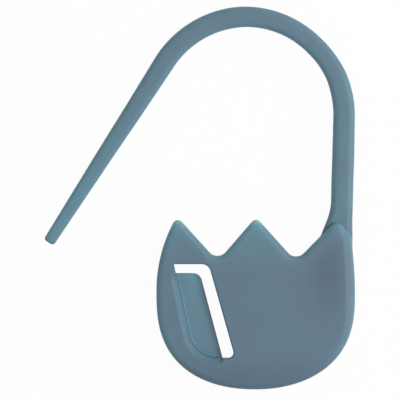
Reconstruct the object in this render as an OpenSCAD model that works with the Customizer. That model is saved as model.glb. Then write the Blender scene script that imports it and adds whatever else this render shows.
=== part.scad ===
// Tulip-shaped locking stitch marker, moulded in one flexible plastic.
// It lies on its back face at Z = 0, with its front up, the petals and the bow towards +Y.
// The origin is the middle of the tulip on the back face.

/* [Tulip body] */
// Width of the tulip across its widest line
body_w = 15.9; // [14:0.1:18]
// Height of the widest point of the left side above the origin
left_belly_y = 1.1; // [0:0.05:2]
// Height of the widest point of the right side above the origin
right_belly_y = 0.85; // [0:0.05:2]
// Depth of the bowl from the origin down to its lowest point
bowl_drop = 6.81; // [6:0.05:8]
// Fullness of the bowl's left half, where 2 is an ellipse and more is squarer
left_fullness = 2.39; // [2:0.01:3]
// Fullness of the bowl's right half
right_fullness = 2.3; // [2:0.01:3]
// Thickness of the tulip from back to front
body_t = 2.5; // [2.3:0.05:3.2]
// Radius of the rounded front edge
front_edge_r = 0.34; // [0.1:0.01:0.36]
// Radius of the rounded back edge
back_edge_r = 0.16; // [0.05:0.01:0.3]

/* [Petals] */
// Height of the left petal's sharp corner, before it is rounded
left_petal_y = 7.1; // [6.6:0.01:7.6]
// Height of the middle petal's corner
middle_petal_y = 6.97; // [6.6:0.01:7.4]
// Height of the sharp bottom of the valleys between the petals
valley_y = 3.43; // [3.1:0.05:4.2]
// Height of the right petal's corner
right_petal_y = 6.75; // [6.4:0.05:7]
// Place of the left petal's corner across the body
left_petal_x = -6.3; // [-6.6:0.01:-6]
// Place of the middle petal's corner across the body
middle_petal_x = 0.05; // [-0.3:0.01:0.3]
// Place of the right petal's corner across the body
right_petal_x = 6.5; // [6.2:0.01:6.8]
// Place of the left valley across the body
left_valley_x = -3.0; // [-3.3:0.01:-2.8]
// Place of the right valley across the body
right_valley_x = 3.24; // [3:0.01:3.5]
// Radius of the petal tips
petal_tip_r = 0.43; // [0.38:0.01:0.6]
// Radius of the valleys
valley_r = 0.86; // [0.4:0.01:1.2]
// Radius of the left side between its belly and its petal
left_side_r = 11.6; // [11:0.1:14]
// Radius of the right side between its belly and the arm's root
right_side_r = 30; // [20:1:60]
// Height where the right petal's outer edge leaves the right side
right_shoulder_y = 3.6; // [3:0.05:3.8]

/* [Catch] */
// Top edge of the catch opening
catch_top_y = 3.22; // [3:0.01:3.4]
// Bottom edge of the catch opening
catch_bottom_y = -4.27; // [-4.6:0.01:-3.9]
// Left end of the catch opening's top edge
catch_left_x = -6.5; // [-6.7:0.01:-6.3]
// Right end of the catch opening's top edge
catch_right_x = -3.77; // [-4:0.01:-3.6]
// Slant of the catch opening's left wall from upright
catch_left_slant = 12.2; // [11:0.1:13]
// Slant of the slot's right wall from upright
slot_slant = 17.4; // [16:0.1:18]
// Slant of the tongue's edge along the slot from upright
tongue_slant = 15.4; // [14:0.1:17]
// Width of the slot beside the tongue, across its top
slot_w = 0.9; // [0.7:0.01:1.1]
// Height of the gap between the keeper petal and the tongue
gap_h = 0.74; // [0.6:0.01:1]
// Radius of the opening's lower left corner
catch_corner_r = 2.3; // [1.2:0.05:2.6]
// Radius of the opening's upper right corner
slot_corner_r = 0.8; // [0.5:0.02:0.9]
// Radius of the slot's lower right corner
slot_end_r = 0.4; // [0.1:0.01:0.5]
// Radius of the tongue's free corner
tongue_corner_r = 0.7; // [0.3:0.02:0.9]
// Thickness of the tongue, which is flush with the back
tongue_t = 0.5; // [0.35:0.01:0.55]
// Thickness of the keeper petal, which is flush with the front
keeper_t = 0.7; // [0.5:0.01:0.75]
// Width of the bevel on the left, where the rim falls to the tongue
bevel_w = 0.36; // [0.2:0.01:0.6]
// Width of that bevel at the bottom
bevel_low_w = 0.3; // [0.2:0.01:0.6]
// Depth of that bevel
bevel_h = 0.6; // [0.2:0.01:0.8]

/* [Arm] */
// Radius of the bow along its middle line
bow_r = 7.85; // [7.5:0.01:8.2]
// Place of the bow's centre across the body
bow_x = -0.74; // [-1:0.01:-0.6]
// Height of the bow's centre above the origin
bow_y = 15.11; // [14.8:0.01:15.4]
// Lean of the stem towards the loop
stem_lean = 1.7; // [1:0.1:2]
// Angle round the bow where it turns into the straight shank
bow_end_angle = 147.5; // [146:0.1:149]
// Length of the straight shank, from the bow to the tip
shank_len = 17.05; // [16:0.05:18]
// Width of the stem and the bow
arm_w = 1.65; // [1.4:0.01:1.8]
// Thickness of the stem and the bow
arm_t = 1.4; // [1.1:0.01:1.45]
// Width of the arm at its tip
tip_w = 0.93; // [0.7:0.01:1.1]
// Thickness of the arm at its tip
tip_t = 0.8; // [0.6:0.01:0.9]
// Height of the arm's middle above the back face
arm_z = 1.0; // [0.95:0.01:1.1]
// Radius of the arm's long edges
arm_edge_r = 0.42; // [0.2:0.01:0.6]
// Radius of the tip's end edges
tip_edge_r = 0.2; // [0.05:0.01:0.3]
// Length of the tip piece
tip_len = 1.7; // [1.2:0.1:2.2]
// Radius of the hollow where the stem flares into the right petal
root_flare_r = 3.4; // [2.8:0.1:4]

/* [Bending places] */
// Length of the stem that bends, below the bow
stem_free_len = 6.75; // [6.4:0.05:7]
// Angle round the bow of the bend in its right shoulder
shoulder_angle = 45; // [40:1:50]
// Angle round the bow of the bend at its top
crown_angle = 90; // [86:1:94]
// Angle round the bow of the place that bends backwards
dip_angle = 112; // [110:1:114]
// Angle round the bow of the place that bends forwards
rise_angle = 128; // [126:1:130]
// Distance of the bend in the shank from the bow's end
shank_bend = 8.4; // [7.5:0.1:9.5]
// Radius of the round faces of the sideways bends
swing_face_r = 1.0; // [0.95:0.01:1.1]
// Radius of the round faces of the backward and forward bends
lift_face_r = 0.86; // [0.8:0.01:0.95]
// Clearance between two round faces
face_gap = 0.04; // [0.02:0.01:0.08]

/* [Hidden] */
body_colour = "#66808f";
petal_colour = "#678694";
tongue_colour = "#6a8c9a";
arm_colour = "#668592";
$fn = 48;
eps = 0.01;
big = 12;
foot_sink = 0.06;
foot_depth = 0.8;
foot_steps = 5;
edge_share = 0.8;
bowl_steps = 22;
side_steps = 6;
corner_steps = 6;
edge_steps = 3;

left_belly = [-body_w / 2, left_belly_y];
right_belly = [body_w / 2, right_belly_y];
keeper_z = body_t - keeper_t;
catch_h = catch_top_y - catch_bottom_y;
tongue_top_y = catch_top_y - gap_h;
// The keeper petal ends where the opening's top edge turns into its corner
keeper_right_x = catch_right_x - slot_corner_r / tan(45 + slot_slant / 2);
tip_start = shank_len - tip_len;

// Plane curves

function unit(v) = v / norm(v);
function left_of(v) = [-v.y, v.x];

// Points of an arc that rounds the corner at b between the lines to a and to c
function corner_arc(a, b, c, r, steps) =
    let (u = unit(a - b), v = unit(c - b), half = acos(u * v) / 2, reach = r / tan(half),
         centre = b + unit(u + v) * r / sin(half), p = b + u * reach - centre,
         turn = (left_of(u) * v > 0 ? -1 : 1) * (180 - 2 * half))
    [for (i = [0:steps]) let (g = turn * i / steps)
        centre + [p.x * cos(g) - p.y * sin(g), p.x * sin(g) + p.y * cos(g)]];

// A closed outline from corners given as [point, radius]
function rounded_outline(corners, steps) =
    let (n = len(corners))
    [for (i = [0:n - 1]) each (corners[i][1] == 0 ? [corners[i][0]] :
        corner_arc(corners[(i + n - 1) % n][0], corners[i][0], corners[(i + 1) % n][0],
                   corners[i][1], steps))];

// A quarter of a superellipse about a centre, between angles a and b
function bowl_quarter(centre, size, fullness, a, b) =
    [for (i = [0:bowl_steps]) let (g = a + (b - a) * i / bowl_steps)
        centre + [size.x * sign(cos(g)) * pow(abs(cos(g)), 2 / fullness),
                  size.y * sign(sin(g)) * pow(abs(sin(g)), 2 / fullness)]];

// A side that rises from its belly and curves inwards, for x = dir * body_w / 2
function side_point(dir, belly, r, y) =
    [belly.x - dir * (r - sqrt(r * r - pow(y - belly.y, 2))), y];

// The tulip's outline, from the lowest point round by the right side
tulip = let (
    right_bowl = bowl_quarter([0, right_belly_y], [body_w / 2, bowl_drop + right_belly_y],
        right_fullness, -90, 0),
    left_bowl = bowl_quarter([0, left_belly_y], [body_w / 2, bowl_drop + left_belly_y],
        left_fullness, 180, 270),
    right_side = [for (i = [1:side_steps - 1]) side_point(1, right_belly, right_side_r,
        right_belly_y + (right_shoulder_y - right_belly_y) * i / side_steps)],
    shoulder = side_point(1, right_belly, right_side_r, right_shoulder_y),
    left_side = [for (i = [side_steps - 1:-1:1]) side_point(-1, left_belly, left_side_r,
        left_belly_y + (left_petal_y - left_belly_y) * i / side_steps)],
    right_petal = [right_petal_x, right_petal_y],
    right_valley = [right_valley_x, valley_y],
    middle_petal = [middle_petal_x, middle_petal_y],
    left_valley = [left_valley_x, valley_y],
    left_petal = [left_petal_x, left_petal_y])
    concat(right_bowl, right_side,
        corner_arc(right_side[len(right_side) - 1], shoulder, right_petal, petal_tip_r, corner_steps),
        corner_arc(shoulder, right_petal, right_valley, petal_tip_r, corner_steps),
        corner_arc(right_petal, right_valley, middle_petal, valley_r, corner_steps),
        corner_arc(right_valley, middle_petal, left_valley, petal_tip_r, corner_steps),
        corner_arc(middle_petal, left_valley, left_petal, valley_r, corner_steps),
        corner_arc(left_valley, left_petal, left_side[0], petal_tip_r, corner_steps),
        left_side, [for (i = [0:bowl_steps - 1]) left_bowl[i]]);

// The catch opening's corners: upper left, lower left, lower right and upper right
catch_corners = [
    [[catch_left_x, catch_top_y], 0],
    [[catch_left_x + catch_h * tan(catch_left_slant), catch_bottom_y], catch_corner_r],
    [[catch_right_x + catch_h * tan(slot_slant), catch_bottom_y], slot_end_r],
    [[catch_right_x, catch_top_y], slot_corner_r]];
catch_outline = rounded_outline(catch_corners, corner_steps);

// The opening's left edge and the slot's left edge at a height y
function rim_x(y) = catch_left_x + (catch_top_y - y) * tan(catch_left_slant);
function slot_x(y) = catch_right_x - slot_w + (catch_top_y - y) * tan(tongue_slant);

// The tongue's corners in the same order; its free one is round
tongue_outline = rounded_outline([
    [[rim_x(tongue_top_y), tongue_top_y], 0],
    [[rim_x(catch_bottom_y), catch_bottom_y], catch_corner_r],
    [[slot_x(catch_bottom_y), catch_bottom_y], 0],
    [[slot_x(tongue_top_y), tongue_top_y], tongue_corner_r]], corner_steps);

// The outline moved inwards by e, point by point along the normals
function inset(outline, e) =
    let (n = len(outline))
    [for (i = [0:n - 1])
        let (u = unit(outline[i] - outline[(i + n - 1) % n]),
             v = unit(outline[(i + 1) % n] - outline[i]), m = unit(left_of(u) + left_of(v)))
        outline[i] + m * e / (m * left_of(v))];

// Solids

// A solid through closed rings of points, with its ends closed
module skin(rings) {
    n = len(rings[0]);
    last = (len(rings) - 1) * n;
    polyhedron(
        points = [for (ring = rings) each ring],
        faces = concat([[for (i = [0:n - 1]) i]],
            [for (k = [0:len(rings) - 2], i = [0:n - 1]) let (a = k * n + i, b = k * n + (i + 1) % n)
                each [[a, a + n, b], [b, a + n, b + n]]],
            [[for (i = [n - 1:-1:0]) last + i]]));
}

function at_height(outline, z) = [for (p = outline) [p.x, p.y, z]];

// A plate between two heights, with rounded back and front edges
module rounded_plate(outline, z0, z1, back_r, front_r) {
    back = [for (i = [0:edge_steps]) let (a = 90 * i / edge_steps)
        at_height(inset(outline, back_r * (1 - sin(a))), z0 + back_r * (1 - cos(a)))];
    front = [for (i = [0:edge_steps]) let (a = 90 * i / edge_steps)
        at_height(inset(outline, front_r * (1 - cos(a))), z1 - front_r * (1 - sin(a)))];
    skin(concat(back, front));
}

// The whole tulip before the catch is cut
module tulip_blank() rounded_plate(tulip, 0, body_t, back_edge_r, front_edge_r);

module block(low, high) translate(low) cube(high - low);

// The left part of the plan above the opening, as wide as the keeper petal
module keeper_plan() translate([-big, catch_top_y]) square([big + keeper_right_x, big]);

module tulip_body() color(body_colour) difference() {
    tulip_blank();
    translate([0, 0, -eps]) linear_extrude(body_t + 2 * eps) {
        polygon(catch_outline);
        keeper_plan();
    }
    // The bevel along the rim, down to the tongue
    hull() {
        translate([0, 0, body_t - bevel_h]) linear_extrude(eps) polygon(catch_outline);
        translate([-bevel_w, -bevel_low_w, body_t]) linear_extrude(eps) polygon(catch_outline);
    }
}

module keeper_petal() color(petal_colour) intersection() {
    tulip_blank();
    translate([0, 0, keeper_z]) linear_extrude(body_t) keeper_plan();
}

// The tongue fills the opening except for the gap below the keeper petal and the slot beside it
module catch_tongue() color(tongue_colour) linear_extrude(tongue_t) polygon(tongue_outline);

// Places along the arm, each [point, heading], with the heading along the arm from root to tip
bow_centre = [bow_x, bow_y];
function on_bow(a) = [bow_centre + bow_r * [cos(a), sin(a)], a + 90];
function along(place, d) = [place[0] + d * [cos(place[1]), sin(place[1])], place[1]];
bow_start = on_bow(-stem_lean);
bow_finish = on_bow(bow_end_angle);
root_bend = along(bow_start, -stem_free_len);

// Share of the taper at a distance d along the shank
function taper(d) = d / shank_len;
function width_at(d) = arm_w + (tip_w - arm_w) * taper(d);
function thick_at(d) = arm_t + (tip_t - arm_t) * taper(d);

// Moves children that lie along +X at z = 0 to a place on the arm
module at_place(place) translate([place[0].x, place[0].y, arm_z]) rotate([0, 0, place[1]]) children();

// The arm's cross-section, width along X and thickness along Y
module arm_section() {
    square([arm_w, arm_t - 2 * arm_edge_r], center = true);
    square([arm_w - 2 * arm_edge_r, arm_t], center = true);
    for (x = [-1, 1], y = [-1, 1])
        translate([x * (arm_w / 2 - arm_edge_r), y * (arm_t / 2 - arm_edge_r)]) circle(arm_edge_r);
}

// One ring of the shank's section at a distance d, drawn in by e at the tip's rounded end
function shank_ring(d, e) =
    let (w = width_at(d) / 2 - e, t = thick_at(d) / 2 - e, r = min(arm_edge_r, edge_share * t))
    [for (p = rounded_outline([[[w, t], r], [[-w, t], r], [[-w, -t], r], [[w, -t], r]], corner_steps))
        [d, p.x, p.y]];

// A straight length of the stem from a place, for a distance
module stem_length(place, d) at_place(place) rotate([90, 0, 90]) linear_extrude(d) arm_section();

// A length of the bow between two angles
module bow_length(a, b) translate([bow_centre.x, bow_centre.y, arm_z]) rotate([0, 0, a])
    rotate_extrude(angle = b - a, $fn = 96) translate([bow_r, 0]) arm_section();

// A length of the shank between two distances from the bow
module shank_length(a, b) at_place(bow_finish) skin([shank_ring(a, 0), shank_ring(b, 0)]);

// The round face of a sideways bend, and of a backward or forward one
module swing_face(place, r) at_place(place) cylinder(r = r, h = 2 * arm_t, center = true, $fn = 64);
module lift_face(place, r)
    at_place(place) rotate([90, 0, 0]) cylinder(r = r, h = 2 * arm_w, center = true, $fn = 64);

module before(place) at_place(place) block([-big, -big / 2, -arm_t], [0, big / 2, arm_t]);

// A stretch of arm that ends at a bend: round at its end and hollow at its start, so that its faces
// turn on its neighbours'. Its children are the raw length, the end's face and the start's face.
module stretch(end) difference() {
    intersection() {
        children(0);
        union() {
            before(end);
            children(1);
        }
    }
    if ($children > 2) children(2);
}

shoulder_bend = on_bow(shoulder_angle);
crown_bend = on_bow(crown_angle);
dip_bend = on_bow(dip_angle);
rise_bend = on_bow(rise_angle);
lower_bend = along(bow_finish, shank_bend);
lower_face_r = swing_face_r * width_at(shank_bend) / arm_w;
swing_arc = swing_face_r / bow_r * 180 / PI;
lift_arc = lift_face_r / bow_r * 180 / PI;

// Where the line through p along u meets the line through q along v
function meet(p, u, q, v) = p + u * cross(q - p, v) / cross(u, v);

// The foot of the stem in plan: its two edges, and the hollow curve into the right petal's slope
foot = let (
    up = [cos(root_bend[1]), sin(root_bend[1])], left = left_of(up) * arm_w / 2,
    slope = unit([right_petal_x, right_petal_y] - [right_valley_x, valley_y]),
    inward = -left_of(slope),
    corner = meet([right_valley_x, valley_y] + inward * foot_sink, slope, root_bend[0] + left, up),
    curve = corner_arc(corner + up * big, corner, corner - slope * big, root_flare_r, foot_steps),
    low = root_bend[0] - up * (root_bend[0].y - right_shoulder_y) / cos(stem_lean),
    high = root_bend[0] + up * 2 * swing_face_r)
    concat([low - left, high - left, high + left], curve,
        [curve[foot_steps] + inward * foot_depth]);

// The foot of the stem, which stands on the right petal's slope
module arm_root() color(arm_colour) difference() {
    stretch(root_bend) {
        rounded_plate(foot, arm_z - arm_t / 2, arm_z + arm_t / 2, arm_edge_r, arm_edge_r);
        swing_face(root_bend, swing_face_r);
    }
    translate([0, 0, -eps]) linear_extrude(body_t + 2 * eps) polygon(tulip);
}

module arm_stem() color(arm_colour) stretch(bow_start) {
    stem_length(root_bend, stem_free_len + swing_face_r);
    swing_face(bow_start, swing_face_r);
    swing_face(root_bend, swing_face_r + face_gap);
}

module bow_right() color(arm_colour) stretch(shoulder_bend) {
    bow_length(-stem_lean, shoulder_angle + swing_arc);
    swing_face(shoulder_bend, swing_face_r);
    swing_face(bow_start, swing_face_r + face_gap);
}

module bow_crown() color(arm_colour) stretch(crown_bend) {
    bow_length(shoulder_angle, crown_angle + swing_arc);
    swing_face(crown_bend, swing_face_r);
    swing_face(shoulder_bend, swing_face_r + face_gap);
}

module bow_left() color(arm_colour) stretch(dip_bend) {
    bow_length(crown_angle, dip_angle + lift_arc);
    lift_face(dip_bend, lift_face_r);
    swing_face(crown_bend, swing_face_r + face_gap);
}

module bow_shoulder() color(arm_colour) stretch(rise_bend) {
    bow_length(dip_angle, rise_angle + lift_arc);
    lift_face(rise_bend, lift_face_r);
    lift_face(dip_bend, lift_face_r + face_gap);
}

module bow_end() color(arm_colour) stretch(bow_finish) {
    bow_length(rise_angle, bow_end_angle + swing_arc);
    swing_face(bow_finish, swing_face_r);
    lift_face(rise_bend, lift_face_r + face_gap);
}

module shank_upper() color(arm_colour) stretch(lower_bend) {
    shank_length(0, shank_bend + lower_face_r);
    swing_face(lower_bend, lower_face_r);
    swing_face(bow_finish, swing_face_r + face_gap);
}

module shank_lower() color(arm_colour) difference() {
    shank_length(shank_bend, tip_start);
    swing_face(lower_bend, lower_face_r + face_gap);
}

module arm_tip() color(arm_colour) at_place(bow_finish) skin(concat([shank_ring(tip_start, 0)],
    [for (i = [0:edge_steps]) let (a = 90 * i / edge_steps)
        shank_ring(shank_len - tip_edge_r * (1 - sin(a)), tip_edge_r * (1 - cos(a)))]));

tulip_body();
keeper_petal();
catch_tongue();
arm_root();
arm_stem();
bow_right();
bow_crown();
bow_left();
bow_shoulder();
bow_end();
shank_upper();
shank_lower();
arm_tip();
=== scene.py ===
# Tulip stitch marker: a soft-edged moulding in grey-blue polypropylene, with an arm built in pieces
# around its bends.
# All places are written in millimetres, in the frame of the imported model, and turned to metres
# where a mesh, a light or the camera is made.
import math
import bmesh
import bpy
import numpy as np
from mathutils import Matrix
from mathutils.geometry import delaunay_2d_cdt


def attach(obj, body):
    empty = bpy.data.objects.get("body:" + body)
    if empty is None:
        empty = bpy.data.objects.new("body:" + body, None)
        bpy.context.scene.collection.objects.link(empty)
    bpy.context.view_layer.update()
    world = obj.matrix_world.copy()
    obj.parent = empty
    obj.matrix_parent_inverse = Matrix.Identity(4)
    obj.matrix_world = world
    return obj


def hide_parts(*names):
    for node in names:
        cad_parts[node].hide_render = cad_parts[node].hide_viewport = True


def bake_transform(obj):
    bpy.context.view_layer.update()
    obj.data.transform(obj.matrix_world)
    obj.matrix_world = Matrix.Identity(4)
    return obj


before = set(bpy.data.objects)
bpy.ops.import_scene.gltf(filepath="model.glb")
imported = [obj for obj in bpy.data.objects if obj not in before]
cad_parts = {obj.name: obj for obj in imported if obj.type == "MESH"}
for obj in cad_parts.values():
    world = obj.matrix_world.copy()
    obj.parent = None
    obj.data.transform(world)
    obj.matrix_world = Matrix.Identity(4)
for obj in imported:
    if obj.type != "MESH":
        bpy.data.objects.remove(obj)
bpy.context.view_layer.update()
mm = 0.001
tiny = 1e-9  # mm, a length that counts as nothing
scene = bpy.context.scene


# curves in the plane

def unit(v):
    return v / np.linalg.norm(v, axis=-1, keepdims=True)


def leftOf(v):
    return np.stack([-v[..., 1], v[..., 0]], -1)


def cornerArc(a, b, c, radius, steps=10):
    # circle of the radius that touches b-a and b-c, from the one touch point to the other
    a, b, c = np.array(a, float), np.array(b, float), np.array(c, float)
    u, v = unit(a - b), unit(c - b)
    half = math.acos(np.clip(u @ v, -1, 1)) / 2
    centre = b + unit(u + v) * radius / math.sin(half)
    p = b + u * radius / math.tan(half) - centre
    turn = (-1 if leftOf(u) @ v > 0 else 1) * (math.pi - 2 * half) * np.linspace(0, 1, steps + 1)
    return centre + np.stack([p[0] * np.cos(turn) - p[1] * np.sin(turn),
                              p[0] * np.sin(turn) + p[1] * np.cos(turn)], -1)


def resample(points, spacing):
    # evenly spaced points along a polyline, by arc length
    length = np.r_[0, np.cumsum(np.linalg.norm(np.diff(points, axis=0), axis=1))]
    keep = np.r_[True, np.diff(length) > tiny]
    points, length = points[keep], length[keep]
    count = max(2, int(round(length[-1] / spacing)) + 1)
    at = np.linspace(0, length[-1], count)
    return np.stack([np.interp(at, length, points[:, 0]), np.interp(at, length, points[:, 1])], -1)


def edgeDistance(points, line):
    # least distance from each point to a polyline, over all of its pieces at once
    a, d = line[:-1], np.diff(line, axis=0)
    rel = points[:, None, :] - a[None]
    t = np.clip((rel * d[None]).sum(-1) / np.maximum((d * d).sum(-1), tiny ** 2)[None], 0, 1)
    return np.linalg.norm(rel - t[..., None] * d[None], axis=-1).min(1)


def crossing(line, axis, value, side):
    # where a polyline passes a value of x (axis 0) or y (axis 1); side says if the other
    # coordinate is above 0 there (1) or below it (-1)
    a, b = line[:-1], line[1:]
    hit = (a[:, axis] - value) * (b[:, axis] - value) <= 0
    t = (value - a[:, axis]) / np.where(b[:, axis] == a[:, axis], 1, b[:, axis] - a[:, axis])
    p = a + (b - a) * t[:, None]
    index = np.nonzero(hit & (p[:, 1 - axis] * side > 0))[0][0]
    return index, p[index]


def smooth(value, low, high):
    # from 0 at low to 1 at high, t^2 (3 - 2t)
    t = np.clip((value - low) / (high - low), 0, 1)
    return t * t * (3 - 2 * t)


# materials

polypropyleneLook = {
    "thick": "#566a7c",      # where the moulding is thick, little light comes through it
    "middle": "#607a8c",
    "thinAndLight": "#6795a3",       # thin places let light through and look lighter and greener; it also serves as painted light
    "palest": "#8cb4bb",     # the very rims and the sloping wall of the catch; painted highlight on the wall, partly painted light on the rims
    "middleAt": 0.4,         # the places of these two between thick, 0, and palest, 1
    "thinAndLightAt": 0.8,
    "thinAndLightShare": 0.8,        # how far a piece's value of thinness and painted light carries along the colours
    "cloudShare": 0.14,      # how far the slow clouds of the melt shift them
    "ior": 1.49,
    "roughness": 0.5,
    "grainRoughness": 0.1,   # the grit varies the roughness by this much
    "specular": 0.36,        # the eroded mould leaves the gloss weak
    "sparkGrain": 0.05,      # mm, the grit of the eroded mould, drawn coarse enough to show
    "grainDepth": 0.0016,    # mm
    "sinkSize": 2.6,         # mm, the slow waviness of a cooled surface
    "sinkDepth": 0.012,      # mm
    "subsurface": 0.12,      # the milky plastic lets a little light in
    "lightDepth": 0.6,       # mm, about how deep the light goes
    "lightReach": (0.7, 1.0, 1.1),
}
armLook = dict(polypropyleneLook, grainDepth=0.0012, sinkDepth=0.006)
# the tongue is half a millimetre thick and so paler, and its colours are painted paler still:
# painted light that lifts the shade of its deep recess
tongueLook = dict(polypropyleneLook, middle="#7090a2", thinAndLight="#7cb4c2", palest="#86bcc6",
                  sinkDepth=0.006)


def linear(hexColour):
    # the sRGB curve: a straight foot, then ((v + 0.055) / 1.055) ^ 2.4
    rgb = np.array([int(hexColour[i:i + 2], 16) for i in (1, 3, 5)]) / 255
    return (*np.where(rgb <= 0.04045, rgb / 12.92, ((rgb + 0.055) / 1.055) ** 2.4), 1.0)


def addNode(tree, kind, settings=None, inputs=None):
    # a node with its settings, and inputs given as values or as sockets to link from
    node = tree.nodes.new(kind)
    for name, value in (settings or {}).items():
        setattr(node, name, value)
    for name, value in (inputs or {}).items():
        if isinstance(value, bpy.types.NodeSocket):
            tree.links.new(value, node.inputs[name])
        else:
            node.inputs[name].default_value = value
    return node


def newMaterial(name):
    material = bpy.data.materials.new(name)
    material.use_nodes = True
    material.node_tree.nodes.clear()
    return material, material.node_tree


def makePolypropylene(name, look):
    # injection-moulded polypropylene: a soft satin gloss over a slightly milky body, whose colour
    # follows the piece's attribute of thinness together with painted light and shade
    material, tree = newMaterial(name)
    place = addNode(tree, "ShaderNodeTexCoord").outputs["Object"]
    thinAndLight = addNode(tree, "ShaderNodeAttribute", {"attribute_name": "thinAndLight"}).outputs["Fac"]
    cloud = addNode(tree, "ShaderNodeTexNoise", {"noise_dimensions": "3D"},
                    {"Vector": place, "Scale": 1 / (look["sinkSize"] * mm), "Detail": 2.0,
                     "Roughness": 0.5})
    drift = addNode(tree, "ShaderNodeMath", {"operation": "MULTIPLY_ADD"},
                    {0: cloud.outputs["Fac"], 1: look["cloudShare"], 2: -look["cloudShare"] / 2})
    where = addNode(tree, "ShaderNodeMath", {"operation": "MULTIPLY_ADD", "use_clamp": True},
                    {0: thinAndLight, 1: look["thinAndLightShare"], 2: drift.outputs[0]})
    ramp = addNode(tree, "ShaderNodeValToRGB", None, {"Fac": where.outputs[0]})
    colours = ramp.color_ramp.elements
    colours[0].color = linear(look["thick"])
    colours[1].color = linear(look["palest"])
    colours.new(look["middleAt"]).color = linear(look["middle"])
    colours.new(look["thinAndLightAt"]).color = linear(look["thinAndLight"])
    grain = addNode(tree, "ShaderNodeTexNoise", {"noise_dimensions": "3D"},
                    {"Vector": place, "Scale": 1 / (look["sparkGrain"] * mm), "Detail": 1.0})
    sheen = addNode(tree, "ShaderNodeMath", {"operation": "MULTIPLY_ADD"},
                    {0: grain.outputs["Fac"], 1: look["grainRoughness"],
                     2: look["roughness"] - look["grainRoughness"] / 2})
    sink = addNode(tree, "ShaderNodeBump", None,
                   {"Height": cloud.outputs["Fac"], "Distance": look["sinkDepth"] * mm,
                    "Strength": 1.0})
    bump = addNode(tree, "ShaderNodeBump", None,
                   {"Height": grain.outputs["Fac"], "Distance": look["grainDepth"] * mm,
                    "Strength": 1.0, "Normal": sink.outputs["Normal"]})
    shader = addNode(tree, "ShaderNodeBsdfPrincipled", {"subsurface_method": "BURLEY"},
                     {"Base Color": ramp.outputs["Color"], "Roughness": sheen.outputs[0],
                      "Normal": bump.outputs["Normal"], "IOR": look["ior"],
                      "Specular IOR Level": look["specular"],
                      "Subsurface Weight": look["subsurface"],
                      "Subsurface Scale": look["lightDepth"] * mm,
                      "Subsurface Radius": look["lightReach"]})
    addNode(tree, "ShaderNodeOutputMaterial", None, {"Surface": shader.outputs[0]})
    return material


mouldedBody = makePolypropylene("moulded_polypropylene", polypropyleneLook)
mouldedArm = makePolypropylene("moulded_polypropylene_arm", armLook)
thinTonguePaintedLight = makePolypropylene("thin_polypropylene_painted_light", tongueLook)
print("material ready")


# meshes

fineness = {
    "outlineStep": 0.08, "faceStep": 0.45,     # mm between points along an outline and on a face
    "faceClearance": 0.12, "faceRim": 0.05,    # mm from a face's edge to its inner points
    "edgeRings": 9,                            # rings across each rounded edge
    "cornerReach": 16,                         # points beside a corner that it may run over
    "nearlyStraight": 0.25,                    # sine of the least turn that counts as a corner
    "merge": 2e-4, "sliver": 1e-4,             # mm
    "sharpAngle": 50,                          # degrees
    "fillTolerance": 1e-6,                     # mm
}


def makePiece(name, points, faces, thinAndLight, material):
    # a closed mesh from points in millimetres; doubles are merged, and hard corners stay hard
    mesh = bpy.data.meshes.new(name)
    mesh.from_pydata((np.asarray(points) * mm).tolist(), [], faces)
    mesh.validate()
    attribute = mesh.attributes.new("thinAndLight", "FLOAT", "POINT")
    attribute.data.foreach_set("value", np.asarray(thinAndLight, np.float32))
    work = bmesh.new()
    work.from_mesh(mesh)
    bmesh.ops.remove_doubles(work, verts=work.verts, dist=fineness["merge"] * mm)
    bmesh.ops.dissolve_degenerate(work, edges=work.edges, dist=fineness["sliver"] * mm)
    bmesh.ops.recalc_face_normals(work, faces=work.faces)
    work.to_mesh(mesh)
    work.free()
    mesh.polygons.foreach_set("use_smooth", [True] * len(mesh.polygons))
    mesh.set_sharp_from_angle(angle=math.radians(fineness["sharpAngle"]))
    mesh.materials.append(material)
    piece = bpy.data.objects.new(name, mesh)
    scene.collection.objects.link(piece)
    return piece


def bands(rings, n):
    # the four-sided faces between neighbouring rings of n points each
    i = np.arange(n)
    j = (i + 1) % n
    k = np.arange(rings - 1)[:, None] * n
    return np.stack([k + i, k + j, k + n + j, k + n + i], -1).reshape(-1, 4).tolist()


def shiftedLoop(loop, offsets):
    # each edge of the loop moved inwards by its own offset; a point goes where its two edges meet
    ahead = unit(np.roll(loop, -1, 0) - loop)
    normalNext, normalLast = leftOf(ahead), leftOf(np.roll(ahead, 1, 0))
    offNext, offLast = offsets, np.roll(offsets, 1)
    cross = normalLast[:, 0] * normalNext[:, 1] - normalLast[:, 1] * normalNext[:, 0]
    straight = np.abs(cross) < fineness["nearlyStraight"]
    mean = normalLast + normalNext
    level = mean / (mean * normalNext).sum(1, keepdims=True) * ((offLast + offNext) / 2)[:, None]
    safe = np.where(straight, 1, cross)
    bent = np.stack([(offLast * normalNext[:, 1] - offNext * normalLast[:, 1]) / safe,
                     (offNext * normalLast[:, 0] - offLast * normalNext[:, 0]) / safe], -1)
    return loop + np.where(straight[:, None], level, bent)


def stronger(values):
    # per point, the value of whichever of its two edges is the larger in size
    last = np.roll(values, 1)
    return np.where(np.abs(last) > np.abs(values), last, values)


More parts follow.
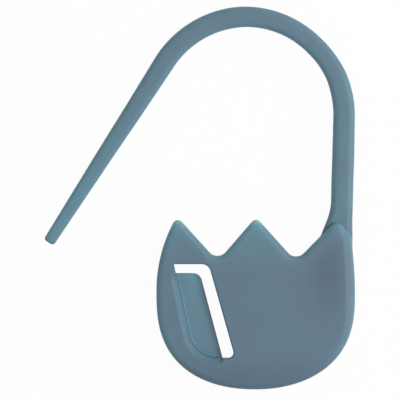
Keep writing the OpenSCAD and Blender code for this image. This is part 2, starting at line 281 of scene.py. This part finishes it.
def flatFill(loop):
    # triangles over a loop, with a grid of points inside it kept clear of the edge
    low, high, step = loop.min(0), loop.max(0), fineness["faceStep"]
    gx, gy = np.meshgrid(np.arange(low[0], high[0], step), np.arange(low[1], high[1], step))
    grid = np.stack([gx.ravel(), gy.ravel()], -1)
    a, b = loop, np.roll(loop, -1, 0)
    above = (a[None, :, 1] > grid[:, None, 1]) != (b[None, :, 1] > grid[:, None, 1])
    slope = (b[:, 0] - a[:, 0]) / np.where(b[:, 1] == a[:, 1], 1, b[:, 1] - a[:, 1])
    crossX = a[None, :, 0] + (grid[:, None, 1] - a[None, :, 1]) * slope[None]
    inside = (above & (grid[:, None, 0] < crossX)).sum(1) % 2 == 1
    grid = grid[inside]
    grid = grid[edgeDistance(grid, np.vstack([loop, loop[:1]])) > fineness["faceClearance"]]
    points = np.vstack([loop, grid])
    insideOnly = 1  # keeps the triangles within the loop
    found = delaunay_2d_cdt(points.tolist(), [], [list(range(len(loop)))], insideOnly,
                            fineness["fillTolerance"])
    return np.array([tuple(v) for v in found[0]]), np.array(found[2])


def trimCorners(ring, loop, corners):
    # past a corner, the points that the corner has run over are put on it, on both of its sides
    for k in corners:
        for step in (1, -1):
            run = (k + step * np.arange(1, fineness["cornerReach"])) % len(loop)
            over = (ring[run, :2] - ring[k, :2]) @ (loop[run[0]] - loop[k]) < 0
            ring[run[over]] = ring[k]
    return ring


def mouldedPlate(name, outlineRuns, zLow, zHigh, height, thinAndLight, material):
    # a profile carried round an outline: rounded back edge, wall, rounded or filleted front edge,
    # and the two faces; each edge has a width and a depth, where a depth below 0 is a hollow
    # fillet that rises to the neighbouring wall, and in front a draft: 0 round, 1 a straight slope;
    # a round edge goes inwards by width (1 - cos a) and down by depth (1 - sin a), for a from 0 to
    # a right angle
    loop, edges, corners = outlineRuns
    frontWidth, frontDepth, draft, backWidth, backDepth = edges.T
    turns = np.linspace(0, math.pi / 2, fineness["edgeRings"])
    rings = []
    for a in turns[::-1]:  # back face to wall
        ring = shiftedLoop(loop, backWidth * (1 - math.cos(a)))
        rings.append((ring, zLow + stronger(backDepth) * (1 - math.sin(a))))
    for a in turns:  # wall to front face
        ring = shiftedLoop(loop, frontWidth * (1 - math.cos(a)))
        drop = (1 - draft) * (1 - math.sin(a)) + draft * math.cos(a)
        rings.append((ring, zHigh + height(ring) - stronger(frontDepth) * drop))
    # one more ring keeps the face flat up to its edge
    ring = shiftedLoop(loop, frontWidth + fineness["faceRim"] * (frontWidth > 0))
    rings.append((ring, zHigh + height(ring)))
    rings = [trimCorners(np.column_stack(ring), loop, corners) for ring in rings]
    count = len(rings) * len(loop)
    points, faces = list(rings), bands(len(rings), len(loop))
    for ring, top in ((rings[0], False), (rings[-1], True)):
        flat, triangles = flatFill(ring[:, :2])
        level = zHigh + height(flat) if top else np.full(len(flat), zLow)
        points.append(np.column_stack([flat, level]))
        faces += ((triangles if top else triangles[:, ::-1]) + count).tolist()
        count += len(flat)
    points = np.vstack(points)
    return makePiece(name, points, faces, thinAndLight(points), material)


jointFace = None  # stands for the sizes of a run where a piece meets its neighbour


def joinRuns(runs):
    # a closed loop from runs of points, each with the width, depth and draft of its front edge and
    # the width and depth of its back edge, fixed or worked out from the place; a run marked as a
    # joint face is upright, and its edges pass from the one neighbour's depth to the other's
    points = [resample(np.array(run), fineness["outlineStep"])[:-1] for run, _ in runs]
    rows = [None if sizes is jointFace else sizes(p) if callable(sizes)
            else np.repeat([sizes], len(p), 0) for p, (_, sizes) in zip(points, runs)]
    for index, row in enumerate(rows):
        if row is None:
            first, last = rows[index - 1][-1], rows[(index + 1) % len(rows)][0]
            share = np.linspace(0, 1, len(points[index]))[:, None]
            rows[index] = (first + (last - first) * share) * (0, 1, 0, 0, 1)
    corners = np.cumsum([0] + [len(p) for p in points[:-1]])
    return np.vstack(points), np.vstack(rows), corners


def uncrowned(points):
    return 0 * points[:, 0]


# the tulip-shaped plate with its catch

tulip = {
    "leftReach": 7.89, "rightReach": 7.95, "leftBelly": 1.1, "rightBelly": 0.85, "bowlDrop": 6.76,
    "leftFullness": (2.19, 2.74), "rightFullness": (2.1, 2.61),  # exponents across and down
    "leftSideRadius": 11.6, "rightSideRadius": 30.0, "rightShoulder": 3.6,
    "leftPetal": (-6.3, 7.1), "middlePetal": (0.05, 6.97), "rightPetal": (6.5, 6.75),
    "leftValley": (-3.0, 3.43), "rightValley": (3.24, 3.43), "knee": (7.66, 5.5),
    "tipRadius": 0.43, "valleyRadius": 0.86, "kneeRadius": 1.0,
    "thickness": 2.5, "backEdge": 0.16,
    # width and depth of the rounding, in general, low on the right and at a petal's tip
    "frontEdge": (0.5, 0.42), "rightEdge": (0.8, 0.78), "tipEdge": (0.33, 0.34),
    "rightEdgeAcross": (5.4, 7.4), "rightEdgeUp": (-4.5, 0.5), "tipEdgeWithin": (0.5, 1.3),
    # the face falls by this much at this reach from its middle, and no further than the limit
    "crown": 0.05, "crownReach": (8.2, 7.4), "crownMiddle": (0, -0.2), "crownLimit": 1.2,
}
# how pale the plate looks, from 0 to 1, from thinness together with painted light and shade:
# where it starts, what each place adds or takes, and how far that reaches in mm
tulipTone = {
    # petals, edge and tip make the upper petals, the rims and the petal tips paler: partly light
    # through thin plastic, partly painted light
    "start": 0.5, "petals": 0.15, "petalsFrom": 3.2, "petalsRise": 4.5,
    "edge": 0.35, "edgeReach": 0.35, "tip": 0.6, "tipReach": 0.8,
    # wall: a painted highlight, a pale band along the sloping wall of the catch
    "wall": 0.22, "wallHighlightReach": 0.36, "wallHighlightFade": (0.5, 1.5),
    # heavy: darker over the right petal where the stem's root joins, partly thicker plastic and
    # partly painted shade
    "heavyAndShaded": -0.5, "heavyAndShadedPlace": (5.9, 2.5), "heavyAndShadedReach": (1.7, 3.3), "heavyAndShadedInset": 0.6,
    "low": -0.4, "lowSpan": (3.4, 6.4),
}
catch = {
    "top": 3.22, "bottom": -4.27, "left": -6.5, "right": -3.73,
    "leftSlant": 12.2, "slotSlant": 15.8, "tongueSlant": 15.0,  # degrees from upright
    "slotWidth": 0.89, "gap": 0.73, "lowCorner": 2.3, "slotEnd": 0.4, "slotCorner": 0.72,
    "tongueCorner": 0.7, "tongue": 0.5, "keeper": 0.7, "fillet": 0.22,
    "bevelWidth": 0.4, "bevelDepth": 0.46, "bevelDraft": 0.7, "bevelFade": (0.3, 1.3),
    "bevelLeast": 0.04,
    "slotEdge": 0.16, "slotBackEdge": 0.1, "tongueEdge": (0.16, 0.14), "tongueBackEdge": 0.08,
}
# the tongue starts paler and is painted paler along its free edges: painted light against the shade
# cast there
tongueTone = {"start": 0.55, "edge": 0.4, "edgeReach": 0.6}


def tulipOutline():
    # superellipse quarters for the bowl, |x/a|^m + |y/b|^n = 1 with the fullness (m, n), circle
    # arcs for the sides, straight petals with round corners
    t = tulip

    def quarter(reach, belly, fullness, start, end, count=60):
        g = np.radians(np.linspace(start, end, count))
        c, s = np.cos(g), np.sin(g)
        x = reach * np.sign(c) * np.abs(c) ** (2 / fullness[0])
        y = belly + (t["bowlDrop"] + belly) * np.sign(s) * np.abs(s) ** (2 / fullness[1])
        return np.stack([x, y], -1)

    def side(direction, reach, belly, radius, top, count=40):
        y = np.linspace(belly, top, count)
        x = direction * (reach - radius + np.sqrt(radius ** 2 - (y - belly) ** 2))
        return np.stack([x, y], -1)

    right = side(1, t["rightReach"], t["rightBelly"], t["rightSideRadius"], t["rightShoulder"])
    left = side(-1, t["leftReach"], t["leftBelly"], t["leftSideRadius"], t["leftPetal"][1])
    # the last points of each side make room for the corner above it
    shoulder, leftLow = right[-1], left[-5]
    tip, valley = t["tipRadius"], t["valleyRadius"]
    return np.vstack([
        quarter(t["rightReach"], t["rightBelly"], t["rightFullness"], -90, 0), right[1:-2],
        cornerArc(right[-3], shoulder, t["knee"], tip),
        cornerArc(shoulder, t["knee"], t["rightPetal"], t["kneeRadius"]),
        cornerArc(t["knee"], t["rightPetal"], t["rightValley"], tip),
        cornerArc(t["rightPetal"], t["rightValley"], t["middlePetal"], valley),
        cornerArc(t["rightValley"], t["middlePetal"], t["leftValley"], tip),
        cornerArc(t["middlePetal"], t["leftValley"], t["leftPetal"], valley),
        cornerArc(t["leftValley"], t["leftPetal"], leftLow, tip), left[:-5][::-1],
        quarter(t["leftReach"], t["leftBelly"], t["leftFullness"], 180, 270)[1:-1]])


def leaning(angle):
    # how far a line at this angle from upright moves sideways per millimetre of height
    return math.tan(math.radians(angle))


outline = tulipOutline()
closedOutline = np.vstack([outline, outline[:1]])
catchHeight = catch["top"] - catch["bottom"]
topLeft = np.array([catch["left"], catch["top"]])
topRight = np.array([catch["right"], catch["top"]])
lowLeft = topLeft + np.array([leaning(catch["leftSlant"]), -1]) * catchHeight
lowRight = topRight + np.array([leaning(catch["slotSlant"]), -1]) * catchHeight
keeperRight = np.array([
    catch["right"] - catch["slotCorner"] / leaning(45 + catch["slotSlant"] / 2), catch["top"]])
slotTop = topRight - np.array([catch["slotWidth"], 0])
tongueRun = np.array([leaning(catch["tongueSlant"]), -1])
tongueTopRight = slotTop + tongueRun * catch["gap"]
tongueLowRight = slotTop + tongueRun * catchHeight
tongueTopLeft = topLeft + (lowLeft - topLeft) * catch["gap"] / catchHeight
# the keeper petal's joint faces run from the catch up to the left valley's slope and out through
# the left side
seamTopIndex, seamTop = crossing(closedOutline, 0, keeperRight[0], 1)
seamSideIndex, seamSide = crossing(closedOutline, 1, catch["top"], -1)

lowCornerArc = cornerArc(topLeft, lowLeft, lowRight, catch["lowCorner"], steps=24)
wallAndCorner = np.vstack([topLeft, lowCornerArc])
bottomRun = np.vstack([wallAndCorner[-1], tongueLowRight])
slotEndArc = cornerArc(tongueLowRight, lowRight, topRight, catch["slotEnd"], steps=8)
slotCornerArc = cornerArc(lowRight, topRight, topLeft, catch["slotCorner"], steps=12)
slotSide = np.vstack([slotEndArc[-1], slotCornerArc[:-1], keeperRight])
tongueFree = cornerArc(tongueLowRight, tongueTopRight, tongueTopLeft, catch["tongueCorner"],
                       steps=14)
tongueWall = np.vstack([tongueTopLeft, wallAndCorner[1:]])


def outerEdge(points):
    # rounded all round, much wider where the right petal runs out into the stem, and never wider
    # at a petal's tip than the tip's own radius
    wide = (smooth(points[:, 0], *tulip["rightEdgeAcross"])
            * smooth(points[:, 1], *tulip["rightEdgeUp"]))[:, None]
    front = np.array(tulip["frontEdge"]) * (1 - wide) + np.array(tulip["rightEdge"]) * wide
    tips = [np.hypot(*(points - tulip[name]).T)
            for name in ("leftPetal", "middlePetal", "rightPetal")]
    narrow = (1 - smooth(np.min(tips, axis=0), *tulip["tipEdgeWithin"]))[:, None]
    front = front * (1 - narrow) + np.array(tulip["tipEdge"]) * narrow
    return np.hstack([front, 0 * wide, np.full((len(points), 2), tulip["backEdge"])])


def bevelEdge(points):
    # the wall of the catch leans back as one long soft curve, which fades out at the top
    size = smooth(catch["top"] - points[:, 1], *catch["bevelFade"])[:, None]
    full = (catch["bevelWidth"], catch["bevelDepth"], catch["bevelDraft"])
    least = (catch["bevelLeast"], catch["bevelLeast"], 0)
    return np.hstack([size * full + least, 0 * points])


def crownHeight(points):
    # the face stands highest in the middle and falls by the square of the distance from it
    r = np.hypot(*((points - tulip["crownMiddle"]) / tulip["crownReach"]).T)
    return -tulip["crown"] * np.clip(r, 0, tulip["crownLimit"]) ** 2


def tulipThinAndPaintedLight(points):
    # paler on the petals, at their tips, at the edges and by the wall of the catch, darker at the
    # heavy right petal and low down; the band by the wall is a painted highlight, the pale petals,
    # tips and edges are partly painted light, and the dark right petal is partly painted shade
    t, p = tulipTone, points[:, :2]
    edge = edgeDistance(p, closedOutline)
    wall = edgeDistance(p, np.vstack([wallAndCorner, bottomRun]))
    tip = np.min([np.hypot(*(p - tulip[name]).T) for name in ("leftPetal", "middlePetal")], axis=0)
    petals = np.clip((p[:, 1] - t["petalsFrom"]) / t["petalsRise"], 0, 1)
    # painted highlight along the catch's sloping wall
    paintedWallHighlight = np.exp(-(wall / t["wallHighlightReach"]) ** 4) * smooth(catch["top"] - p[:, 1], *t["wallHighlightFade"])
    # darker right petal: partly thicker plastic, partly painted shade
    heavyAndShaded = np.exp(-(((p - t["heavyAndShadedPlace"]) / t["heavyAndShadedReach"]) ** 2).sum(1))
    heavyAndShaded *= 1 - np.exp(-edge / t["heavyAndShadedInset"])
    return (t["start"] + t["petals"] * petals + t["edge"] * np.exp(-edge / t["edgeReach"])
            + t["tip"] * np.exp(-tip / t["tipReach"]) + t["wall"] * paintedWallHighlight + t["heavyAndShaded"] * heavyAndShaded
            + t["low"] * smooth(-p[:, 1], *t["lowSpan"]))


def tongueThinAndPaintedLight(points):
    # palest along the free edges: painted light that lifts the shade the slot's far wall casts
    # there
    edge = edgeDistance(points[:, :2], tongueFree)
    return tongueTone["start"] + tongueTone["edge"] * np.exp(-edge / tongueTone["edgeReach"])


slotEdge = (catch["slotEdge"], catch["slotEdge"], 0, catch["slotBackEdge"], catch["slotBackEdge"])
bodyRuns = joinRuns([
    (np.vstack([closedOutline[:seamTopIndex + 1], seamTop]), outerEdge),
    (np.array([seamTop, keeperRight]), jointFace),
    (slotSide[::-1], slotEdge),
    (slotEndArc[::-1], slotEdge),
    (np.array([slotEndArc[0], tongueLowRight]), slotEdge),
    (bottomRun[::-1], bevelEdge),
    (wallAndCorner[::-1], bevelEdge),
    (np.array([topLeft, seamSide]), jointFace),
    (np.vstack([seamSide, closedOutline[seamSideIndex + 1:]]), outerEdge)])
bodySkin = mouldedPlate("tulip_body_skin", bodyRuns, 0, tulip["thickness"], crownHeight, tulipThinAndPaintedLight,
                        mouldedBody)
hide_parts("tulip_body")
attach(bodySkin, "tulip")

keeperRuns = joinRuns([
    (np.vstack([seamTop, closedOutline[seamTopIndex + 1:seamSideIndex + 1], seamSide]), outerEdge),
    (np.array([seamSide, topLeft]), jointFace),
    (np.array([topLeft, keeperRight]), slotEdge),
    (np.array([keeperRight, seamTop]), jointFace)])
keeperSkin = mouldedPlate("keeper_petal_skin", keeperRuns, tulip["thickness"] - catch["keeper"],
                          tulip["thickness"], crownHeight, tulipThinAndPaintedLight, mouldedBody)
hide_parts("keeper_petal")
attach(keeperSkin, "tulip")

filletEdge = (catch["fillet"], -catch["fillet"], 0, 0, 0)
freeEdge = (*catch["tongueEdge"], 0, catch["tongueBackEdge"], catch["tongueBackEdge"])
tongueRuns = joinRuns([
    (tongueWall, filletEdge),
    (bottomRun, filletEdge),
    (np.vstack([tongueLowRight, tongueFree, tongueTopLeft]), freeEdge)])
tongueSkin = mouldedPlate("catch_tongue_skin", tongueRuns, 0, catch["tongue"], uncrowned,
                          tongueThinAndPaintedLight, thinTonguePaintedLight)
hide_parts("catch_tongue")
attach(tongueSkin, "tulip")
print("tulip ready")


# the arm

arm = {
    "bowRadius": 7.85, "bowCentre": (-0.74, 15.11), "stemHeading": 88.3, "shankHeading": 237.5,
    "shankLength": 17.05, "middle": 1.0,
    # the bends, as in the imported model: mm before the bow, headings on it, mm after it
    "rootLength": 6.75, "bendHeadings": (135, 180, 202, 218), "lowerBend": 8.4,
    "footSeam": 0.45, "tipSeam": 2.6,  # mm of skin before the first bend and after the last
    # along the arm in mm from the start of the bow, with the width and the thickness there
    "sizes": ((-9, 1.74, 1.4), (-3, 1.76, 1.4), (0, 1.72, 1.4), (2, 1.7, 1.4), (5, 1.57, 1.4),
              (9, 1.57, 1.4), (14, 1.65, 1.4), (20.44, 1.66, 1.4), (37.49, 0.93, 0.8)),
    # the moulding wanders off the plain circle and lines: mm to the inside of the bow
    "drift": ((-9, -0.03), (-5, 0), (-3, -0.01), (0, 0.02), (2, 0.02), (3.5, 0), (6.4, 0.07),
              (9.5, 0.03), (12.6, 0.0), (17, 0.07), (20.5, 0.1), (25, 0.09), (29, 0.05),
              (37.5, 0.02)),
    "edgeShare": 0.285,  # radius of the section's corners, as a share of its width
    "leastRadius": 0.03, "tipRounding": 0.26, "tipRings": 9, "step": 0.12,
    "webStart": -6.6, "webRadius": 4.6,
}
armTone = {"start": 0.58, "tipward": 0.3, "rim": 0.2, "rimFrom": 0.35, "rimSpan": 0.45}
bowLength = arm["bowRadius"] * math.radians(arm["shankHeading"] - arm["stemHeading"])
armLength = bowLength + arm["shankLength"]


def armPlace(s):
    # place and heading along the arm: a straight stem, a circle, then a straight shank
    s = np.atleast_1d(np.asarray(s, float))
    turn = np.radians(arm["stemHeading"]) + np.clip(s, 0, bowLength) / arm["bowRadius"]
    ahead = np.stack([np.cos(turn), np.sin(turn)], -1)
    onBow = np.array(arm["bowCentre"]) - leftOf(ahead) * arm["bowRadius"]
    past = s - np.clip(s, 0, bowLength)
    drift = np.interp(s, *np.array(arm["drift"]).T)
    return onBow + ahead * past[:, None] + leftOf(ahead) * drift[:, None], ahead


def armSize(s):
    at, width, thick = np.array(arm["sizes"]).T
    return np.interp(s, at, width), np.interp(s, at, thick)


def webWidth(s):
    # the web to the petal starts as a circle that leaves the left edge of the stem, d^2 / (2 r)
    return np.clip(arm["webStart"] - s, 0, None) ** 2 / (2 * arm["webRadius"])


def armSection(width, thick, radius, steps=9):
    # a rounded rectangle, as quarter circles at four corners, for every place along the arm at once
    g = np.radians(np.linspace(0, 90, steps))
    across, up = [], []
    for quarter, (sx, sz) in enumerate(((1, 1), (-1, 1), (-1, -1), (1, -1))):
        a = g + quarter * math.pi / 2
        across.append(sx * (width / 2 - radius)[:, None] + radius[:, None] * np.cos(a))
        up.append(sz * (thick / 2 - radius)[:, None] + radius[:, None] * np.sin(a))
    return np.concatenate(across, 1), np.concatenate(up, 1)


def armThin(s, across):
    # thinner places look lighter: at the rims of the section, and more towards the tip
    rim = np.clip((np.abs(across) - armTone["rimFrom"]) / armTone["rimSpan"], 0, 1)
    tipward = np.clip((s - bowLength) / arm["shankLength"], 0, 1)
    return armTone["start"] + armTone["tipward"] * tipward + armTone["rim"] * rim


def armPiece(name, start, finish):
    # the section carried along the arm's path between two places, closed at both ends
    count = int(math.ceil((finish - start) / arm["step"]))
    s = np.linspace(start, finish, count + 1)
    isTip, e = finish >= armLength, arm["tipRounding"]
    if isTip:
        s = np.r_[s[s < finish - e],
                  finish - e + e * np.sin(np.linspace(0, math.pi / 2, arm["tipRings"]))]
    width, thick = armSize(s)
    radius = arm["edgeShare"] * width
    if isTip:  # the end is rounded: the section shrinks by e - sqrt(e^2 - d^2)
        shrink = e - np.sqrt(np.clip(e ** 2 - np.clip(s - finish + e, 0, e) ** 2, 0, None))
        width, thick = width - 2 * shrink, thick - 2 * shrink
        radius = np.clip(radius - shrink, arm["leastRadius"], None)
    across, up = armSection(width, thick, radius)
    across -= (across < 0) * webWidth(s)[:, None]
    place, ahead = armPlace(s)
    right = -leftOf(ahead)
    xy = place[:, None] + right[:, None] * across[..., None]
    points = np.concatenate([xy, (arm["middle"] + up)[..., None]], -1)
    rings, n = points.shape[:2]
    i = np.arange(n)
    faces = bands(rings, n) + [i[::-1].tolist(), (i + (rings - 1) * n).tolist()]
    thinAndLight = armThin(np.repeat(s, n), across.ravel())
    return makePiece(name, points.reshape(-1, 3), faces, thinAndLight, mouldedArm)


def bowAt(heading):
    return arm["bowRadius"] * math.radians(heading - arm["stemHeading"])


bends = [-arm["rootLength"], 0, *map(bowAt, arm["bendHeadings"]), bowLength,
         bowLength + arm["lowerBend"]]
seams = [bends[0] - arm["footSeam"], *((a + b) / 2 for a, b in zip(bends, bends[1:])),
         bends[-1] + arm["tipSeam"]]
bendPieces = [
    ("root_bend_skin", "tulip", "arm_stem_body", ["arm_stem"]),
    ("stem_bend_skin", "arm_stem_body", "bow_right_body", ["bow_right"]),
    ("shoulder_bend_skin", "bow_right_body", "bow_crown_body", ["bow_crown"]),
    ("crown_bend_skin", "bow_crown_body", "bow_left_body", ["bow_left"]),
    ("dip_bend_skin", "bow_left_body", "bow_shoulder_body", ["bow_shoulder"]),
    ("rise_bend_skin", "bow_shoulder_body", "bow_end_body", ["bow_end"]),
    ("finish_bend_skin", "bow_end_body", "shank_upper_body", ["shank_upper"]),
    ("lower_bend_skin", "shank_upper_body", "shank_lower_body", []),
]
for (name, before, after, nodes), start, finish in zip(bendPieces, seams, seams[1:]):
    piece = armPiece(name, start, finish)
    if nodes:
        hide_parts(*nodes)
    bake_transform(piece)
tipSkin = armPiece("shank_tip_skin", seams[-1], armLength)
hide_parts("shank_lower", "arm_tip")
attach(tipSkin, "shank_lower_body")

foot = {
    "webAngle": 20, "webSteps": 14, "leastTurn": 0.01,  # the web's arc in degrees, steps, radians
    "sink": 0.25, "depth": 1.3, "low": 2.6,             # how far the foot reaches into the petal
    "edge": 0.48, "tone": 0.6,
    "rightEdge": ((7.745, 6.6), (7.765, 5.4), (7.745, 4.2), (7.72, 3.4)),
}


def footOutline():
    # the stem's right edge, run on a little outwards, and on its left a web: the circle that
    # leaves the stem, then a straight down to the slope of the right petal
    top, ahead = (row[0] for row in armPlace(seams[0]))
    left, half = leftOf(ahead), armSize(seams[0])[0] / 2
    begin = armPlace(arm["webStart"])[0][0] + left * half
    turn = np.radians(np.linspace(0, foot["webAngle"], foot["webSteps"]))[:, None]
    atSeam = math.asin((arm["webStart"] - seams[0]) / arm["webRadius"])
    turn = turn[turn[:, 0] > atSeam + foot["leastTurn"]]
    web = begin + (left * (1 - np.cos(turn)) - ahead * np.sin(turn)) * arm["webRadius"]
    slope = unit(np.array(tulip["rightPetal"]) - np.array(tulip["rightValley"]))
    inward = -leftOf(slope)
    base = np.array(tulip["rightValley"]) + inward * foot["sink"]
    q = web[-1] - base
    down = unit(left * math.sin(turn[-1, 0]) - ahead * math.cos(turn[-1, 0]))
    along = (q[0] * down[1] - q[1] * down[0]) / (slope[0] * down[1] - slope[1] * down[0])
    heel = base + slope * along
    lowest = np.array([foot["rightEdge"][-1][0], foot["low"]])
    return (np.vstack([lowest, foot["rightEdge"][::-1], top - left * half]),
            np.vstack([top + left * (half + webWidth(seams[0])), web, heel]),
            np.array([heel, heel + inward * foot["depth"]]), lowest - (2 * half, 0))


def footThin(points):
    return np.full(len(points), foot["tone"])


footRight, footWeb, footHeel, footLow = footOutline()
footHalf = armSize(seams[0])[1] / 2
armEdge = (foot["edge"], foot["edge"], 0, foot["edge"], foot["edge"])
footRuns = joinRuns([
    (footRight, armEdge),
    (np.array([footRight[-1], footWeb[0]]), jointFace),
    (footWeb, armEdge),
    (footHeel, armEdge),
    (np.array([footHeel[-1], footLow]), armEdge),
    (np.array([footLow, footRight[0]]), armEdge)])
footSkin = mouldedPlate("arm_root_skin", footRuns, arm["middle"] - footHalf,
                        arm["middle"] + footHalf, uncrowned, footThin,
                        mouldedArm)
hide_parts("arm_root")
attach(footSkin, "tulip")
print("arm ready")


# floor, light and camera

studio = {
    "view": (-4.412, 8.332), "across": 32.0, "distance": 500.0, "sensor": 36.0,
    "floorColour": "#f4f5f5", "floorLift": 0.965, "floorHalf": 3000.0, "floorGap": 0.02,
    "sky": 0.42,
    "keyPlace": (165.0, 38.0, 295.0), "keySize": 110.0, "keyPower": 0.56,
    "sidePlace": (180.0, 40.0, 85.0), "sideSize": 90.0, "sidePower": 0.09,
}


def makeFloor():
    # matt white card; the camera sees it nearly white, and it still takes the object's shadow
    half, z = studio["floorHalf"] * mm, -studio["floorGap"] * mm
    mesh = bpy.data.meshes.new("floor")
    mesh.from_pydata([(-half, -half, z), (half, -half, z), (half, half, z), (-half, half, z)], [],
                     [(0, 1, 2, 3)])
    floor = bpy.data.objects.new("floor", mesh)
    scene.collection.objects.link(floor)
    material, tree = newMaterial("white_card")
    path = addNode(tree, "ShaderNodeLightPath").outputs
    seen = addNode(tree, "ShaderNodeMath", {"operation": "MAXIMUM"},
                   {0: path["Is Camera Ray"], 1: path["Is Glossy Ray"]})
    seenAll = addNode(tree, "ShaderNodeMath", {"operation": "MAXIMUM"},
                      {0: seen.outputs[0], 1: path["Is Transmission Ray"]})
    share = addNode(tree, "ShaderNodeMath", {"operation": "MULTIPLY"},
                    {0: seenAll.outputs[0], 1: studio["floorLift"]})
    card = addNode(tree, "ShaderNodeBsdfDiffuse", None, {"Color": linear(studio["floorColour"])})
    glow = addNode(tree, "ShaderNodeEmission", None, {"Color": (1, 1, 1, 1), "Strength": 1.0})
    mix = addNode(tree, "ShaderNodeMixShader", None,
                  {0: share.outputs[0], 1: card.outputs[0], 2: glow.outputs[0]})
    addNode(tree, "ShaderNodeOutputMaterial", None, {"Surface": mix.outputs[0]})
    mesh.materials.append(material)


def makeLight(name, place, size, power):
    # a square softbox that faces the middle of the view
    lamp = bpy.data.lights.new(name, "AREA")
    lamp.shape, lamp.size, lamp.energy = "SQUARE", size * mm, power
    light = bpy.data.objects.new(name, lamp)
    away = unit(np.array(place) - (*studio["view"], 0))
    side = unit(np.cross((0, 1, 0), away))
    matrix = np.eye(4)
    matrix[:3, :3] = np.column_stack([side, np.cross(away, side), away])
    matrix[:3, 3] = np.array(place) * mm
    light.matrix_world = Matrix(matrix.tolist())
    scene.collection.objects.link(light)


makeFloor()
makeLight("key_softbox", studio["keyPlace"], studio["keySize"], studio["keyPower"])
makeLight("side_softbox", studio["sidePlace"], studio["sideSize"], studio["sidePower"])
world = bpy.data.worlds.new("studio_white")
world.use_nodes = True
sky = world.node_tree.nodes["Background"].inputs
sky["Color"].default_value = (1, 1, 1, 1)
sky["Strength"].default_value = studio["sky"]
scene.world = world
scene.view_settings.view_transform = "Standard"

lens = bpy.data.cameras.new("camera")
lens.sensor_width = studio["sensor"]
lens.lens = studio["sensor"] * studio["distance"] / studio["across"]
camera = bpy.data.objects.new("camera", lens)
camera.location = [v * mm for v in (*studio["view"], studio["distance"])]
scene.collection.objects.link(camera)
scene.camera = camera
print("studio ready")
